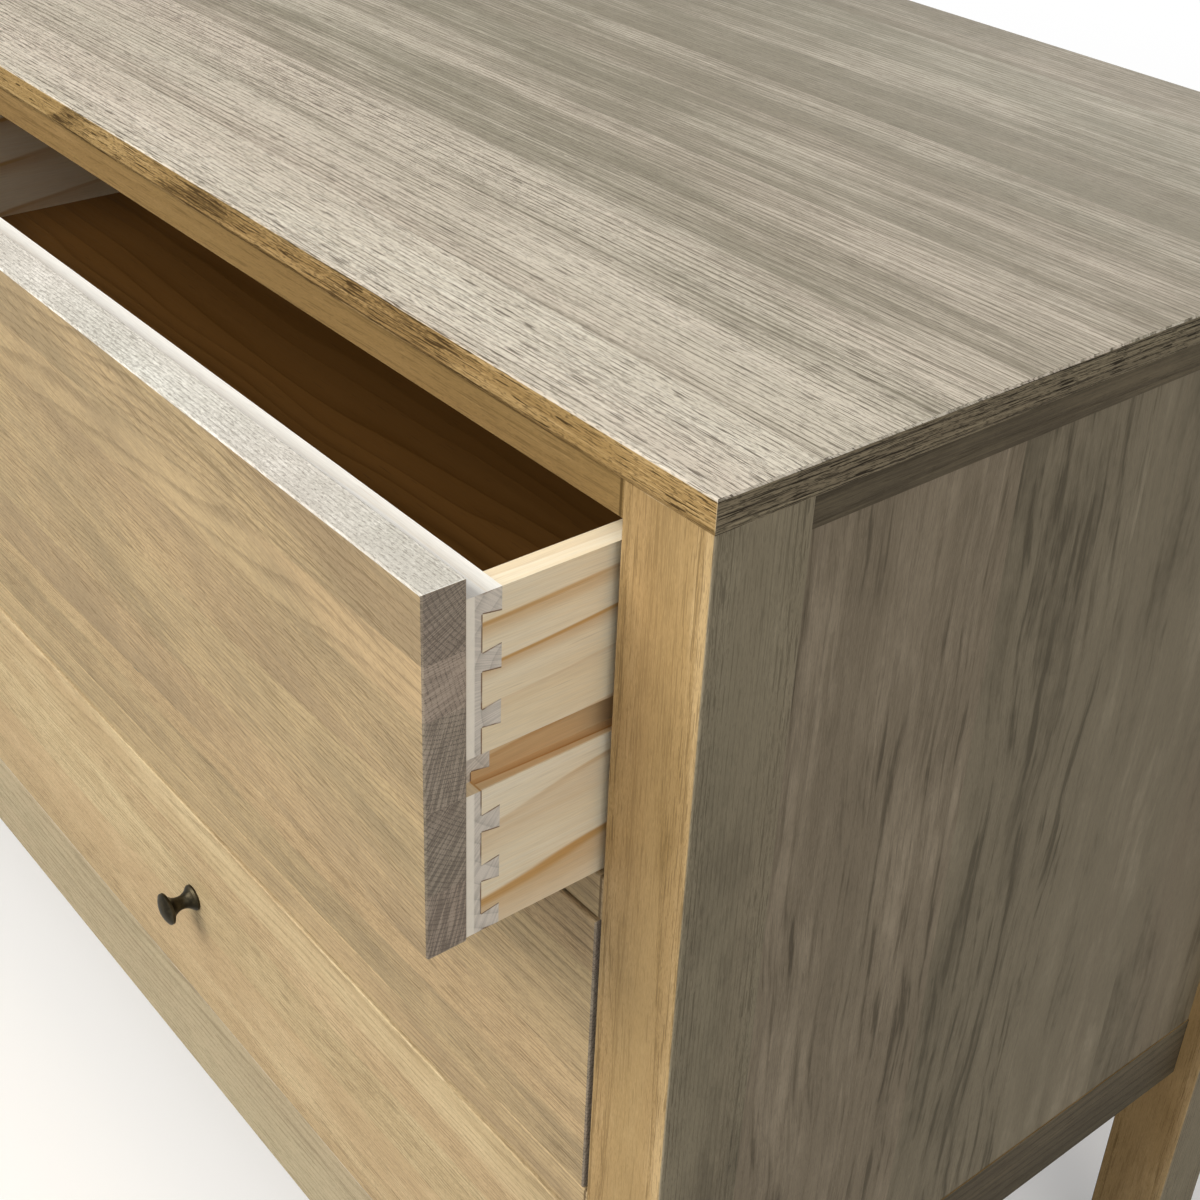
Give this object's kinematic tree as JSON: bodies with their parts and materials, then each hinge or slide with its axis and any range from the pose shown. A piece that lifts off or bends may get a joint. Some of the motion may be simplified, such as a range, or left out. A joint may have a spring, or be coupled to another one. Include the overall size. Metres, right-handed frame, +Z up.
{
  "type": "dresser",
  "caption": "Wide oak chest of drawers on square posts, with inset drawer fronts, bronze knobs and dovetailed pine drawer boxes that slide on wooden side runners.",
  "frame": {"origin": "bottom centre of the box round the whole object at rest, with the top right drawer standing 80 mm open; the glides stand on z = 0", "axes": "+X along the front to the right, +Y from the front to the back, +Z up"},
  "size_m": [1.619, 0.5996, 0.765],
  "materials": {
    "oak": "matt, open-pored, greyed oak",
    "pine": "clear matt lacquer on pine",
    "plywood": "brown stained plywood",
    "runner_wood": "planed hardwood",
    "bronze": "dark oiled bronze",
    "steel": "zinc plated",
    "plastic": "matt dark plastic"
  },
  "bodies": {
    "carcass": {"top_panel": "oak", "post_front_left": "oak", "post_front_right": "oak", "post_rear_left": "oak", "post_rear_right": "oak", "front_top_rail": "oak", "front_divider_rails": "oak", "front_bottom_rail": "oak", "centre_stile": "oak", "side_rails": "oak", "side_panel_left": "oak", "side_panel_right": "oak", "centre_partition": "pine", "back_rails": "pine", "back_panel": "plywood", "drawer_runners": "runner_wood", "carcass_screws": "steel", "foot_glides": "plastic"},
    "top_left_drawer": {"top_left_front": "oak", "top_left_box_front": "pine", "top_left_box_sides": "pine", "top_left_box_back": "pine", "top_left_box_bottom": "plywood", "top_left_knob": "bronze", "top_left_screws": "steel"},
    "top_right_drawer": {"top_right_front": "oak", "top_right_box_front": "pine", "top_right_box_sides": "pine", "top_right_box_back": "pine", "top_right_box_bottom": "plywood", "top_right_knob": "bronze", "top_right_screws": "steel"},
    "middle_left_drawer": {"middle_left_front": "oak", "middle_left_box_front": "pine", "middle_left_box_sides": "pine", "middle_left_box_back": "pine", "middle_left_box_bottom": "plywood", "middle_left_knob": "bronze", "middle_left_screws": "steel"},
    "middle_right_drawer": {"middle_right_front": "oak", "middle_right_box_front": "pine", "middle_right_box_sides": "pine", "middle_right_box_back": "pine", "middle_right_box_bottom": "plywood", "middle_right_knob": "bronze", "middle_right_screws": "steel"},
    "bottom_left_drawer": {"bottom_left_front": "oak", "bottom_left_box_front": "pine", "bottom_left_box_sides": "pine", "bottom_left_box_back": "pine", "bottom_left_box_bottom": "plywood", "bottom_left_knob": "bronze", "bottom_left_screws": "steel"},
    "bottom_right_drawer": {"bottom_right_front": "oak", "bottom_right_box_front": "pine", "bottom_right_box_sides": "pine", "bottom_right_box_back": "pine", "bottom_right_box_bottom": "plywood", "bottom_right_knob": "bronze", "bottom_right_screws": "steel"}
  },
  "joints": [
    {"name": "top_left_slide", "type": "slide", "parent": "carcass", "child": "top_left_drawer", "axis": [0, -1, 0], "range_m": [0, 0.32]},
    {"name": "top_right_slide", "type": "slide", "parent": "carcass", "child": "top_right_drawer", "axis": [0, -1, 0], "range_m": [-0.08, 0.24]},
    {"name": "middle_left_slide", "type": "slide", "parent": "carcass", "child": "middle_left_drawer", "axis": [0, -1, 0], "range_m": [0, 0.32]},
    {"name": "middle_right_slide", "type": "slide", "parent": "carcass", "child": "middle_right_drawer", "axis": [0, -1, 0], "range_m": [0, 0.32]},
    {"name": "bottom_left_slide", "type": "slide", "parent": "carcass", "child": "bottom_left_drawer", "axis": [0, -1, 0], "range_m": [0, 0.32]},
    {"name": "bottom_right_slide", "type": "slide", "parent": "carcass", "child": "bottom_right_drawer", "axis": [0, -1, 0], "range_m": [0, 0.32]}
  ]
}
